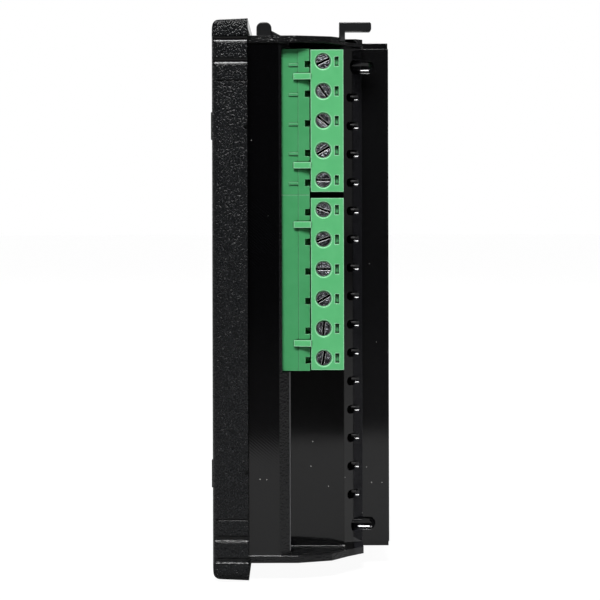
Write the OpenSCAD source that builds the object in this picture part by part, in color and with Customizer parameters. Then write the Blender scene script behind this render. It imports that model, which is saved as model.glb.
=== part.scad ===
// Panel-mounted reactive power controller with six output steps.
// X runs across the panel, Y from the front to the rear, Z up. The origin is the
// middle of the panel plane, where the back of the bezel meets the panel.

/* [Bezel] */
// Side of the square bezel
bezel_size = 144; // [142:1:148]
// Depth of the bezel in front of the panel
bezel_depth = 9.1; // [8.8:0.1:11]
// Corner radius of the bezel seen from the front
bezel_corner = 5; // [3:0.5:7]
// Radius along the front edge
front_edge = 1.7; // [0.8:0.1:2]
// Lean of each side of the bezel towards the front
bezel_draft = 0.4; // [0.1:0.1:0.6]
// Wall round the edge of the bezel
bezel_wall = 2.3; // [1.9:0.1:2.6]
// Thickness of the front plate
plate_t = 2.2; // [1.9:0.1:2.4]
// Wall inside the bezel that locates the housing
spigot_wall = 1.2; // [0.8:0.1:1.6]
// Reach of that wall behind the panel plane
spigot_reach = 2.3; // [1:0.1:2.4]
// Gap between that wall and the housing
spigot_gap = 0.15; // [0.1:0.05:0.3]
// How far the rim of the housing lies inside the bezel
rim_in = 0.5; // [0.3:0.1:1]
// Ribs on each side that the rim of the housing sits on
rim_ribs = 7; // [3:1:9]
// Thickness of a rib
rib_t = 1.2; // [0.8:0.1:1.6]
// Distances from the bezel's ends to the grooves in its sides
groove_ends = [5.7, 11.3]; // [4:0.1:12]
// Width of a side groove
groove_w = 1.8; // [1:0.1:2]
// Depth of a side groove
groove_deep = 0.55; // [0.3:0.05:0.7]
// Distance from the bezel's ends to the fine line in its sides
line_end = 16.2; // [14:0.1:20]
// Width and depth of the fine line
line_w = 0.35; // [0.2:0.05:0.6]
// Notches in the rear edge of the bezel's sides: depth into the side, along the depth, height
edge_notch = [1, 0.8, 1.2]; // [0.6:0.1:1.6]
// Distance from the middle to those notches
edge_notch_z = 43.9; // [35:0.1:52]
// Height of the four small pads on the front, above and below the middle
pad_z = 44.3; // [35:0.1:52]
// Length of a pad
pad_len = 7; // [4:0.5:9]
// Width of a pad
pad_w = 1.5; // [1:0.1:2]
// How far a pad stands proud of the front
pad_proud = 0.25; // [0.15:0.05:0.4]

/* [Housing] */
// Width of the body behind the panel
body_w = 136; // [134:0.5:137]
// Height of the body behind the panel
body_h = 135; // [133:0.5:137]
// Depth of the body behind the panel
body_depth = 36.9; // [35.5:0.1:40]
// Wall thickness of the housing
wall = 1.8; // [1.5:0.1:2.2]
// How far the side panels lie in from the top and bottom walls
side_recess = 0.4; // [0.2:0.1:0.6]
// Depth of the wide front part
shoulder_y = 10.7; // [10.5:0.1:12]
// Bevel of the shoulder, across and along the depth
shoulder_bevel = [1.6, 2.8]; // [1:0.1:3]
// Gap between a plug and the floor of its channel
channel_gap = 0.4; // [0.3:0.1:0.6]
// Depth at which the vent slopes start
slope_start = 24.8; // [24.5:0.1:27]
// Depth at which the vent slopes end
slope_end = 29.8; // [29.2:0.1:32]
// Width of a vent slope, across the panel
slope_w = 7; // [6.6:0.1:7.6]
// Width of the rebate along the top and bottom corners of the rear box
rebate_w = 4; // [3:0.5:6]
// How far the top and bottom walls lie in from the side at each bend past the shoulder
cheek_in = [0, 3.3, 9.5, 14]; // [0:0.1:15]
// Depth of the first three of those bends; the last is where the slopes end
cheek_at = [12.6, 21.3, 25.8]; // [12:0.1:28]
// Depth of the side walls where the terminal blocks come through
notch_y = 8.6; // [8.2:0.1:8.8]

/* [Vents] */
// Slots in each vent slope
vents = 15; // [5:1:16]
// Distance from slot to slot
vent_pitch = 7.5; // [6:0.1:7.6]
// Height of a slot
vent_h = 2.2; // [1.4:0.1:2.4]
// Length of a slot across the slope
vent_len = 4.6; // [3:0.1:5]

/* [Housing screws] */
// Distance from the floor of the channel in to the screws
screw_in = 4.5; // [4.2:0.1:4.8]
// Distance from the top and the bottom of the body to the screws
screw_down = 6.7; // [6.5:0.1:7.5]
// Diameter of the access hole
access_d = 3.8; // [3.7:0.1:4.2]
// How far the rounded end of the access hole lies towards the side
relief_shift = 1.6; // [1.2:0.1:1.8]
// Depth of that rounded end's centre
relief_y = 31.5; // [30.5:0.1:32]
// Depth of the seat under the screw head
seat_y = 22; // [20:0.1:23]
// Screw shank diameter
shank_d = 2.2; // [2:0.1:2.5]
// Screw head diameter
head_d = 3.5; // [3.2:0.1:3.6]
// Screw head height
head_h = 1.6; // [1.2:0.1:2]
// Cross recess of a screw: width, length, depth
recess = [0.5, 2.2, 0.8]; // [0.4:0.1:2.4]
// Depth of the screw tip in front of the panel plane
tip_y = 4; // [2:0.1:5]
// Clearance round the shank in the column
shank_gap = 0.3; // [0.1:0.05:0.4]
// Clearance round the shank in the bezel's pillar
thread_gap = 0.03; // [0.02:0.01:0.06]
// Room past the tip of a screw
tip_room = 0.5; // [0.2:0.1:1]
// Diameter of a screw column
column_d = 9; // [8:0.1:9.4]
// Diameter of the column's neck, which passes the main board
neck_d = 5.6; // [4.5:0.1:6]
// Clearance round the neck
neck_gap = 0.2; // [0.1:0.05:0.3]
// Reach of the neck in front of the main board
neck_reach = 1.4; // [0.6:0.1:1.6]
// Diameter of the bezel's pillars
pillar_d = 8.4; // [8:0.1:9]

/* [Display] */
// Distance from the display board's sides to the window
window_in = 10; // [8:1:17]
// Distance from the display board's top to the window
window_down = 1; // [0:0.5:4]
// Height of the display window
window_h = 60; // [50:1:60]
// How far the window lies below the front face
window_sink = 0.02; // [0.01:0.01:0.1]
// Thickness of the window
window_t = 1.2; // [0.8:0.1:1.4]
// Width of the ledge that the window is bonded to
ledge = 3; // [2:0.1:4]
// Clearance round the window and the keys
front_gap = 0.25; // [0.15:0.05:0.4]
// Thickness of the liquid crystal cell
cell_t = 2.4; // [1.5:0.1:2.8]
// Pocket in the backlight frame that the cell lies in
cell_seat = 0.8; // [0.4:0.1:1]
// Wall of the backlight frame round the cell
frame_wall = 1.5; // [1:0.1:2]
// Space between the front plate and the cell
cell_gap = 0.3; // [0.1:0.1:0.4]

/* [Keys] */
// Distance from key to key
key_pitch = 27; // [23:0.5:29]
// Distance from the display board's bottom to the row of keys
key_up = 18; // [14:0.5:22]
// Width of a key
key_w = 18; // [12:0.5:19]
// Height of a key
key_h = 10; // [8:0.5:12]
// Corner radius of a key
key_r = 2.5; // [1:0.1:3.5]
// How far a key stands proud of the front
key_proud = 0.6; // [0.3:0.1:0.8]
// Travel of a key
key_travel = 0.5; // [0.3:0.05:0.6]
// Width of the collar that holds a key in
collar = 1.3; // [1:0.1:1.6]
// Thickness of the collar
collar_t = 1.1; // [0.8:0.1:1.2]
// Gap between the collar and the front plate
collar_gap = 0.03; // [0.02:0.01:0.1]
// Diameter of the foot that presses the switch
foot_d = 4.2; // [3.5:0.1:5]
// Gap between the foot at the end of its travel and the switch
foot_gap = 0.1; // [0.05:0.05:0.3]
// Side of a key switch
switch_w = 6.2; // [5:0.1:7]
// Height of a key switch
switch_h = 2; // [1.6:0.1:2.2]
// Diameter of the switch plunger
plunger_d = 3.2; // [2.5:0.1:3.6]
// Height of the switch plunger
plunger_h = 0.7; // [0.5:0.1:0.9]

/* [Boards] */
// Thickness of the circuit boards
board_t = 1.6; // [1.4:0.1:1.8]
// Depth of the display board's front face, in front of the panel plane
display_y = 2.2; // [2.1:0.1:2.6]
// Depth of the main board's front face, behind the panel plane
main_y = 2.6; // [2.5:0.1:2.8]
// Gap round the main board
board_gap = 0.8; // [0.5:0.1:1.2]
// Gap between the display board's sides and the wall round it
display_side = 2.45; // [1:0.05:5]
// Gap between the display board and the screw pillars
display_end = 2; // [1:0.1:3]
// Distance from the display board's edges to its screws
post_in = 5; // [4:0.5:6]
// Diameter of the posts that carry the display board
post_d = 5; // [4:0.1:6]
// Shank diameter of the display board's screws
board_screw_d = 2; // [1.8:0.1:2.2]
// Length of those screws in the posts
board_screw_len = 3.5; // [2.5:0.1:4]
// Head diameter of those screws
board_head_d = 3.9; // [3.4:0.1:4.2]
// Head height of those screws
board_head_h = 1.4; // [1:0.1:1.6]
// Lead diameter of the components
lead_d = 0.8; // [0.6:0.1:1]
// Clearance round a lead
lead_gap = 0.2; // [0.1:0.05:0.3]
// Gap between faces that only meet
face_gap = 0.05; // [0.02:0.01:0.1]
// Reach of the leads in front of the main board
lead_out = 1.2; // [0.8:0.1:1.4]

/* [Terminal blocks] */
// Distance from pole to pole
pitch = 7.62; // [7.5:0.01:7.7]
// Poles of the upper block
upper_poles = 5; // [3:1:5]
// Poles of the lower block
lower_poles = 6; // [3:1:8]
// Height of the line where the two headers meet
split_z = 26.67; // [26:0.01:26.7]
// Width of a header, from the floor of the channel to the side
header_w = 11; // [10.6:0.1:11.2]
// Height of a header above the board
header_h = 11.6; // [11.4:0.1:12.2]
// Wall of a header
header_wall = 0.9; // [0.8:0.1:1.1]
// Floor of a header
header_floor = 2.2; // [1.5:0.1:2.4]
// Length of a header beyond its outer poles, both ends together
header_ends = 7.1; // [6.8:0.1:7.4]
// Gap between the two headers
header_split = 0.06; // [0.02:0.01:0.2]
// Gap between a header and the housing's side wall
header_gap = 0.2; // [0.15:0.05:0.3]
// Clearance round the headers in the shoulder
notch_gap = 0.3; // [0.2:0.05:0.4]
// Step in the outer face of a header
header_step = 0.2; // [0.1:0.05:0.3]
// Depth at which that step lies
header_step_y = 12.9; // [12:0.1:14]
// Height of the windows in the header's mouth
key_slot_h = 1.7; // [1.2:0.1:2.2]
// Depth of those windows
key_slot_deep = 1.2; // [1:0.05:1.6]
// How far those windows lie below the poles
key_slot_drop = 0.65; // [0:0.05:1]
// Small marks on the upper header: length, height, how far they stand proud
mark = [2.3, 0.65, 0.25]; // [0.15:0.05:2.6]
// Depth at which the marks start
mark_y = 10.5; // [10:0.1:10.6]
// How far the marks lie below the poles
mark_drop = 0.85; // [0:0.05:1.2]
// Side of a square contact pin
pin_w = 1; // [0.8:0.05:1.1]
// Length of a pin beyond the header's floor
pin_out = 8; // [6:0.1:8.5]
// Clearance of a pin in the header's floor
pin_gap = 0.03; // [0.02:0.01:0.05]

/* [Plugs] */
// Height of a plug above the floor of the channel, side face to inner face
plug_w = 13; // [12.8:0.1:13.2]
// How far the side face of a plug lies above the header
plug_over = 0.8; // [0.6:0.1:1]
// Length of a plug behind the header
plug_back = 8.7; // [8.4:0.1:9]
// Length of a plug beyond its outer poles, both ends together
plug_ends = 6; // [5.6:0.1:6.4]
// Gap between a plug's shoulder and the header
plug_gap = 0.3; // [0.15:0.05:0.4]
// Clearance of a plug's nose in the header
nose_gap = 0.2; // [0.1:0.05:0.3]
// Length of the nose
nose_len = 7; // [6:0.1:7.5]
// Distance from the header's mouth to the terminal screws
screw_y = 3.5; // [3.4:0.05:3.6]
// Diameter of the hole over a terminal screw
well_d = 3.9; // [3.8:0.05:4.2]
// Width of the chamfer round that hole
well_rim = 0.25; // [0.1:0.05:0.4]
// Terminal screw head diameter
terminal_head_d = 3.6; // [3.3:0.05:3.7]
// Terminal screw head height
terminal_head_h = 1.8; // [1.4:0.1:2]
// Depth of a terminal screw head below the plug's side face
terminal_sink = 0.4; // [0.3:0.1:0.8]
// Terminal screw thread diameter
terminal_d = 2.9; // [2.5:0.1:3]
// Width and depth of the slot in a terminal screw
terminal_slot = [0.6, 0.8]; // [0.4:0.1:1]
// Length of the thread below the head
terminal_len = 4.8; // [4.4:0.1:5]
// Clearance of a terminal screw's thread in its wire clamp
terminal_gap = 0.05; // [0.03:0.01:0.08]
// Clearance of the thread in the plug
thread_room = 0.25; // [0.15:0.05:0.4]
// Width and length of the chamber for a wire clamp
chamber = [6.95, 5.2]; // [4.8:0.05:7.1]
// Depth of the chamber behind the plug's shoulder
chamber_y = 5.9; // [5.7:0.1:6]
// Wall between the chamber and the channel floor
plug_floor = 1.4; // [1.2:0.1:1.6]
// Width and height of the wire entry
entry = [3.4, 3.2]; // [2.8:0.1:3.6]
// Test slot: length along the plug's depth and height
test_slot = [1.05, 2.45]; // [0.8:0.05:3]
// Distance from the plug's rear face to the test slot
test_back = 1.2; // [0.8:0.1:1.4]
// Depth of the test slot
test_deep = 0.9; // [0.8:0.1:3]
// Latch arm: reach over the header, height, thickness
arm = [4.1, 1.6, 1.2]; // [0.8:0.1:5]
// Thickness of a latch arm at its tip
arm_tip = 0.25; // [0.2:0.05:0.6]
// Depth of the coding slots in the plug's nose
code_deep = 2.2; // [1.4:0.1:2.2]
// Clearance between an arm and the header
arm_gap = 0.15; // [0.1:0.05:0.2]
// Way through the nose for a contact: across the panel and up
socket = [2.4, 2.7]; // [2.2:0.1:3]
// Sheet thickness of the wire clamps
cage_t = 0.8; // [0.6:0.1:0.9]
// Thickness of the wire clamps' threaded side
cage_nut = 1.28; // [1:0.01:1.5]
// Distance from the plug's shoulder to the wire clamps
cage_start = 0.8; // [0.7:0.05:0.9]
// Clearance round a wire clamp
cage_gap = 0.1; // [0.05:0.05:0.15]
// Thickness of the contact springs
spring_t = 0.4; // [0.3:0.05:0.5]
// Width of the contact springs
spring_w = 2; // [1.5:0.1:2.4]
// Distance from the tip of the nose to the contact springs
spring_in = 0.4; // [0.2:0.1:1]
// Clearance between a contact spring and its pin
spring_gap = 0.05; // [0.03:0.01:0.1]

/* [Panel clamps] */
// Distance from the side of the body to the clamps
clamp_in = 9.5; // [9:0.1:10.5]
// Width of a clamp
clamp_w = 4.4; // [4:0.1:4.8]
// Depth of the clamp's nose, which is the thickness of panel it holds
nose_y = 2.1; // [2.1:0.1:2.6]
// Length of the nose
nose_l = 3.9; // [3.6:0.1:4.2]
// Height of the nose above the housing
nose_h = 4.1; // [3.4:0.1:4.4]
// Radius of the nose's crown
nose_r = 1.6; // [1:0.1:1.8]
// Length and height of the web behind the nose
web = [3.8, 2]; // [1.6:0.1:4.2]
// Depth of the finger tab's leg
leg_y = 23.6; // [23:0.1:24]
// Thickness of that leg
leg_t = 1.5; // [1.2:0.1:1.8]
// Length of the finger tab
tab_len = 8.3; // [6:0.1:8.5]
// Thickness of the finger tab
tab_t = 2.3; // [1.8:0.1:2.4]
// Height of the finger tab's outer face above the housing
tab_h = 4; // [3.6:0.1:4.4]
// Radius of the finger tab's end
tab_r = 0.6; // [0.3:0.1:0.9]
// Runner in the groove: outer width, inner width, depth
runner = [4.8, 6, 1]; // [0.8:0.1:6.2]
// Clearance round the runner
runner_gap = 0.06; // [0.04:0.01:0.1]
// Depth at which the groove starts
groove_y = 0.5; // [0.3:0.1:0.6]
// Grip notches between nose and tab
notches = 12; // [4:1:14]
// Distance from notch to notch
notch_pitch = 1; // [0.8:0.1:1]
// Depth of a notch
notch_deep = 0.35; // [0.2:0.05:0.4]

/* [Components] */
// Output relay: width across the panel, height above the board, length up the panel
relay = [20.2, 15.4, 10.2]; // [10:0.1:21]
// Distance from relay to relay
relay_pitch = 12; // [11:0.1:12.5]
// Gap between the relays and the side of the block
relay_side = 4.1; // [1:0.1:6]
// Distance from the top wall to the uppermost relay
relay_down = 26.8; // [22:0.1:30]
// Mains transformer: width of the core and its stack
core = [38, 14]; // [12:1:40]
// Width of the core's outer limbs
limb = 6.4; // [5:0.1:7]
// Height of the core above the board
core_lift = 3; // [2:0.1:4]
// Room between the core and the rear wall
core_room = 2.9; // [2:0.1:6]
// Length of the coil along the stack direction
coil_len = 26; // [22:0.5:30]
// Clearance of the coil in the core
coil_gap = 0.1; // [0.05:0.05:0.2]
// Width of the two feet under the coil
coil_foot = 5; // [4:0.1:6]
// Distance between the coil's leads across the panel
coil_leads = 20; // [14:1:22]
// Gap between the core and the side of the rear box
core_side = 3.2; // [1:0.1:5]
// Distance from the top wall to the coil
coil_down = 16.7; // [12:0.1:20]
// Current transformer: width, height above the board, length
ct_size = [24, 21, 12]; // [10:0.5:25]
// Bore of the current transformer
ct_bore = 6; // [4:0.5:8]
// Gap between the current transformer and the side of the rear box
ct_side = 6.2; // [2:0.1:10]
// Distance from the bottom wall to the current transformer
ct_up = 37.7; // [30:0.1:44]
// Diameters of the three smoothing capacitors
can_d = [12.5, 10, 8]; // [6:0.5:13]
// Heights of the capacitors above the board
can_h = [21, 16, 12]; // [10:0.5:22]
// Distance from the top wall to the middle of the largest capacitor
can_down = 9.2; // [8:0.1:10]
// Distance from the fuse to the largest capacitor
can_pitch = 14; // [12:0.1:18]
// Distance from the board connector up to the smallest capacitor
can_up = 5; // [4.8:0.1:10]
// Fuse: diameter and height above the board
fuse_size = [8.5, 8]; // [7:0.5:9]
// Distance from the side of the block to the fuse
fuse_side = 27.2; // [26:0.1:29]
// Distance from the top wall to the fuse
fuse_down = 10.7; // [8:0.1:14]
// Surge arrester disc: diameter and thickness
disc_size = [10, 4.2]; // [3:0.1:11]
// Width of the flat that the disc stands on
disc_flat = 9; // [6:0.5:9]
// Distance from the side of the block to the disc
disc_side = 15.2; // [14:0.1:16]
// Distance from the top wall to the disc
disc_down = 11.7; // [9:0.1:14]
// Rectifier: width, height above the board, length
bridge_size = [8, 3.4, 6.4]; // [3:0.1:9]
// Distance from the transformer down to the rectifier
bridge_down = 18; // [16:0.5:22]
// Processor: side and thickness
chip_size = [14, 1.5]; // [1:0.5:16]
// Middle of the processor across and up
chip_at = [-26, -18]; // [-30:1:30]
// Wires of the connector between the boards
link_poles = 12; // [6:1:16]
// Pitch of that connector
link_pitch = 2.54; // [2:0.01:2.54]
// Distance from the display board's bottom to that connector
link_up = 5; // [4:0.5:7]
// Height of the connector's body up the panel
link_h = 3.2; // [2.5:0.1:4]
// Length of that body beyond its outer wires
link_end = 1.5; // [1:0.1:3]
// Reach of the connector's wires past the boards
link_out = 1; // [0.6:0.1:1.4]

/* [Hidden] */
$fn = 48;
// Overlap of joined shapes, and how far a cut runs past the face that it opens
eps = 0.01;
past = 1;
// Keys of the front, one for each key node
keys = 4;
// Turn of each terminal screw, from the top down
screw_turns = [25, -55, -38, 30, 0, -20, 20, 0, 30, 85, 80, 15];

half = bezel_size / 2;
plate_y = -bezel_depth + plate_t;
side_x = body_w / 2 - side_recess;
top_z = body_h / 2;
in_x = side_x - wall;
in_z = top_z - wall;
spigot_x = in_x - spigot_gap;
spigot_z = in_z - spigot_gap;
display_back = -display_y + board_t;
main_back = main_y + board_t;
mouth_y = main_back + header_h;
header_x = in_x - header_gap;
pin_x = header_x - header_w / 2;
plug_y = mouth_y + plug_gap;
plug_x = header_x + plug_over;
plug_base = plug_x - plug_w;
well_y = mouth_y + screw_y;
head_x = plug_x - terminal_sink;
chamber_x = plug_base + plug_floor;
cage_x = chamber_x + cage_gap;
cage_top = chamber_x + chamber[0] - cage_gap;
cage_z = chamber[1] / 2 - cage_gap;
entry_x = cage_x + cage_t + entry[0] / 2;

floor_x = plug_base - channel_gap;
rear_x = floor_x - slope_w;
block_in = floor_x - wall;
rear_in = rear_x - wall;
clamp_x = body_w / 2 - clamp_in;
screw_at = [floor_x - screw_in, top_z - screw_down];
seats = [for (sx = [-1, 1], sz = [-1, 1]) [sx * screw_at[0], sz * screw_at[1]]];

display_w = 2 * (spigot_x - spigot_wall - display_side);
display_h = 2 * (screw_at[1] - pillar_d / 2 - display_end);
posts = [for (sx = [-1, 1], sz = [-1, 1])
    [sx * (display_w / 2 - post_in), sz * (display_h / 2 - post_in)]];
window_w = display_w - 2 * window_in;
window_z = display_h / 2 - window_down - window_h / 2;
window_hole = [window_w - 2 * ledge, window_h - 2 * ledge];
key_z = key_up - display_h / 2;
link_z = link_up - display_h / 2;
link_span = (link_poles - 1) * link_pitch;

relay_x = block_in - relay_side - relay[0] / 2;
relay_top = in_z - relay_down - relay[2] / 2;
core_h = body_depth - wall - core_room - main_back - core_lift;
coil_x = core[0] / 2 - limb;
transformer_at = [core_side + core[0] / 2 - rear_in, in_z - coil_down - coil_len / 2];
ct_at = [ct_side + ct_size[0] / 2 - rear_in, ct_up + ct_size[2] / 2 - in_z];
fuse_at = [block_in - fuse_side, in_z - fuse_down];
disc_at = [block_in - disc_side, in_z - disc_down];
between_x = (transformer_at[0] + core[0] / 2 + relay_x - relay[0] / 2) / 2;
cans = [[fuse_at[0] - can_pitch, in_z - can_down], [between_x, transformer_at[1]],
        [between_x, link_z + can_up]];
bridge_at = [between_x, transformer_at[1] - bridge_down];

// Heights of the poles of each block
function upper_z() = [for (i = [0:upper_poles - 1]) split_z + pitch * (i + 0.5)];
function lower_z() = [for (i = [0:lower_poles - 1]) split_z - pitch * (i + 0.5)];
function middle(zs) = (zs[0] + zs[len(zs) - 1]) / 2;
function span(zs) = abs(zs[0] - zs[len(zs) - 1]);
// Turns of the screws, counted from the top
function turn_of(z) = screw_turns[round((upper_z()[upper_poles - 1] - z) / pitch)];

// Plan of one half of the housing, set in by t from the outside
slope_run = norm([floor_x - rear_x, slope_end - slope_start]);
slope_nx = (slope_end - slope_start) / slope_run;
slope_ny = (floor_x - rear_x) / slope_run;
function set_in(t) = t * (1 - slope_nx) / slope_ny;
function half_plan(t) = [
    [side_x - t, -rim_in],
    [side_x - t, shoulder_y - shoulder_bevel[1]],
    [side_x - t - shoulder_bevel[0], shoulder_y - t],
    [floor_x - t, shoulder_y - t],
    [floor_x - t, slope_start - set_in(t)],
    [rear_x - t, slope_end - set_in(t)],
    [rear_x - t, body_depth - t]
];
// Plan of one half of the top and bottom walls
cheek_plan = concat(
    [[body_w / 2, -rim_in]],
    [for (i = [0:2]) [body_w / 2 - cheek_in[i], cheek_at[i]]],
    [[body_w / 2 - cheek_in[3], slope_end], [rear_x - rebate_w, slope_end], [rear_x - rebate_w, body_depth]]
);
function both_halves(p) = concat(p, [for (i = [len(p) - 1:-1:0]) [-p[i][0], p[i][1]]]);

// Four leads near the corners of a component, or two on its middle line: across, up
function four_leads(at, w, h) = [for (dx = [-w, w], dz = [-h, h]) at + [dx, dz] / 2];
function two_leads(at, w) = [for (dx = [-w, w]) at + [dx / 2, 0]];
relay_leads = [for (i = [0:5])
    four_leads([relay_x, relay_top - i * relay_pitch], 0.8 * relay[0], 0.6 * relay[2])];
transformer_leads = four_leads(transformer_at, coil_leads, 0.8 * coil_len);
ct_leads = four_leads(ct_at, 0.8 * ct_size[0], 0.7 * ct_size[2]);
can_leads = [for (i = [0:2]) each two_leads(cans[i], can_d[i] / 2)];
fuse_leads = two_leads(fuse_at, 0.6 * fuse_size[0]);
disc_leads = two_leads(disc_at, 0.6 * disc_size[0]);
bridge_leads = four_leads(bridge_at, 0.7 * bridge_size[0], 0.7 * bridge_size[2]);
link_at = [for (i = [0:link_poles - 1]) [i * link_pitch - link_span / 2, link_z]];

// Box between two opposite corners
module block(lo, hi) {
    translate(lo) cube(hi - lo);
}

// Round bar along the depth, at a place across and up
module rod_y(d, y0, y1, at) {
    translate([at[0], y0, at[1]]) rotate([-90, 0, 0]) cylinder(d = d, h = y1 - y0);
}

// Round bar across the panel, at a depth and height
module rod_x(d, x0, x1, at) {
    translate([x0, at[0], at[1]]) rotate([0, 90, 0]) cylinder(d = d, h = x1 - x0);
}

// Flat shape seen from the front, given its thickness along the depth
module slab_y(y0, y1) {
    translate([0, y1, 0]) rotate([90, 0, 0]) linear_extrude(y1 - y0) children();
}

// Rectangle with round corners
module rounded(w, h, r) {
    square([w - 2 * r, h], center = true);
    square([w, h - 2 * r], center = true);
    for (sx = [-1, 1], sy = [-1, 1])
        translate([sx * (w / 2 - r), sy * (h / 2 - r)]) circle(r = r);
}

// Rectangular ring seen from the front
module ring(w, h, t) {
    difference() {
        square([w, h], center = true);
        square([w - 2 * t, h - 2 * t], center = true);
    }
}

// Cross recess cut into the end of a screw that faces the rear
module cross_recess(y, at) {
    translate([at[0], y, at[1]]) {
        cube([recess[0], 2 * recess[2], recess[1]], center = true);
        cube([recess[1], 2 * recess[2], recess[0]], center = true);
    }
}

// Section of the bezel's edge: draft on the side, then an arc to the front in short chords
module edge_section(reach) {
    lean = bezel_draft * (bezel_depth - front_edge) / bezel_depth;
    centre = [reach - lean - front_edge, front_edge - bezel_depth];
    chords = 6;
    polygon(concat(
        [[0, -bezel_depth], [0, 0], [reach, 0]],
        [for (i = [0:chords]) let (a = 90 * i / chords)
            centre + front_edge * [cos(a), -sin(a)]]
    ));
}

// Solid outer form of the bezel
module bezel_form() {
    straight = bezel_size - 2 * bezel_corner;
    for (s = [0, 1]) {
        linear_extrude(straight, center = true) mirror([s, 0]) edge_section(half);
        rotate([0, -90, 0])
            linear_extrude(straight, center = true) mirror([s, 0]) edge_section(half);
    }
    for (sx = [-1, 1], sz = [-1, 1])
        translate([sx * straight / 2, 0, sz * straight / 2])
            rotate([-90, 0, 0]) rotate_extrude() edge_section(bezel_corner);
}

// Places along one side of the bezel where the ribs stand
function rib_places() = [for (i = [1:rim_ribs]) bezel_size * (i / (rim_ribs + 1) - 0.5)];

// Rounded grooves and a fine line near both ends of each side
module side_grooves() {
    groove_r = (groove_w * groove_w / 4 + groove_deep * groove_deep) / (2 * groove_deep);
    lean = atan(bezel_draft / bezel_depth);
    for (sx = [0, 1], sz = [-1, 1]) mirror([sx, 0, 0]) translate([half, 0, 0])
        rotate([0, 0, -lean]) {
            for (g = groove_ends)
                rod_y(2 * groove_r, -bezel_depth + front_edge / 3, past,
                      [groove_r - groove_deep, sz * (half - g)]);
            translate([-line_w, -bezel_depth + front_edge / 3, sz * (half - line_end) - line_w / 2])
                cube([past, bezel_depth + past, line_w]);
        }
}

function key_x(i) = (i - (keys - 1) / 2) * key_pitch;

module front_bezel() color("#26282a") {
    pillar_end = main_y - face_gap;
    difference() {
        union() {
            difference() {
                bezel_form();
                slab_y(plate_y, past)
                    rounded(bezel_size - 2 * bezel_wall, bezel_size - 2 * bezel_wall,
                            bezel_corner - bezel_wall);
            }
            slab_y(plate_y - eps, spigot_reach)
                ring(2 * spigot_x, 2 * spigot_z, spigot_wall);
            for (t = rib_places(), s = [-1, 1]) {
                x0 = spigot_x - eps;
                x1 = half - bezel_wall + eps;
                if (abs(t) < spigot_z) {
                    block([min(s * x0, s * x1), plate_y - eps, t - rib_t / 2],
                          [max(s * x0, s * x1), -rim_in, t + rib_t / 2]);
                    block([t - rib_t / 2, plate_y - eps, min(s * x0, s * x1)],
                          [t + rib_t / 2, -rim_in, max(s * x0, s * x1)]);
                }
            }
            for (p = seats) rod_y(pillar_d, plate_y - eps, pillar_end, p);
            for (p = posts) rod_y(post_d, plate_y - eps, -display_y, p);
            for (sx = [-1, 1], sz = [-1, 1])
                translate([sx * (half - bezel_draft - front_edge - pad_w / 2), -bezel_depth, sz * pad_z])
                    cube([pad_w, 2 * pad_proud, pad_len], center = true);
        }
        slab_y(-bezel_depth - past, -bezel_depth + window_t) translate([0, window_z])
            rounded(window_w, window_h, key_r);
        slab_y(-bezel_depth, plate_y + eps) translate([0, window_z])
            square(window_hole, center = true);
        for (i = [0:keys - 1])
            slab_y(-bezel_depth - past, plate_y + eps) translate([key_x(i), key_z])
                rounded(key_w + 2 * front_gap, key_h + 2 * front_gap, key_r + front_gap);
        for (p = seats) {
            rod_y(shank_d + 2 * thread_gap, -tip_y - tip_room, pillar_end + past, p);
            rod_y(neck_d + 2 * neck_gap, main_y - neck_reach - face_gap, pillar_end + past, p);
        }
        for (p = posts)
            rod_y(board_screw_d + 2 * thread_gap, -display_y - board_screw_len - tip_room, 0, p);
        side_grooves();
        for (sx = [-1, 1], sz = [-1, 1]) translate([sx * half, 0, sz * edge_notch_z])
            cube([2 * edge_notch[0], 2 * edge_notch[1], edge_notch[2]], center = true);
    }
}

module display_window() color("#1a2226") {
    slab_y(-bezel_depth + window_sink, -bezel_depth + window_t) translate([0, window_z])
        rounded(window_w - 2 * front_gap, window_h - 2 * front_gap, key_r - front_gap);
}

cell_front = plate_y + cell_gap;
module display_cell() color("#7f8f7a") {
    slab_y(cell_front, cell_front + cell_t) translate([0, window_z])
        square(window_hole, center = true);
}

module backlight_frame() color("#e8e8e4") {
    difference() {
        slab_y(cell_front + cell_t - cell_seat, -display_y) translate([0, window_z])
            square([for (w = window_hole) w + 2 * frame_wall], center = true);
        slab_y(cell_front, cell_front + cell_t) translate([0, window_z])
            square([for (w = window_hole) w + 2 * face_gap], center = true);
    }
}

module display_board() color("#1f5a34") {
    difference() {
        slab_y(-display_y, display_back) square([display_w, display_h], center = true);
        for (p = posts) rod_y(board_screw_d + 2 * shank_gap, -display_y - past, display_back + past, p);
        for (p = link_at) rod_y(lead_d + 2 * lead_gap, -display_y - past, display_back + past, p);
    }
}

module display_board_screws() color("#b8bcc0") {
    for (p = posts) {
        rod_y(board_screw_d, -display_y - board_screw_len, display_back + eps, p);
        difference() {
            rod_y(board_head_d, display_back, display_back + board_head_h, p);
            cross_recess(display_back + board_head_h, p);
        }
    }
}

// Key cap with its collar and the foot that presses the switch
module key(i) color("#3a3d40") {
    foot = -display_y - switch_h - plunger_h - key_travel - foot_gap;
    collar_y = plate_y + collar_gap;
    translate([key_x(i), 0, key_z]) {
        slab_y(-bezel_depth - key_proud, collar_y + eps) rounded(key_w, key_h, key_r);
        slab_y(collar_y, collar_y + collar_t)
            rounded(key_w + 2 * collar, key_h + 2 * collar, key_r + collar);
        rod_y(foot_d, collar_y + collar_t - eps, foot, [0, 0]);
    }
}
module key_1() { key(0); }
module key_2() { key(1); }
module key_3() { key(2); }
module key_4() { key(3); }

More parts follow.
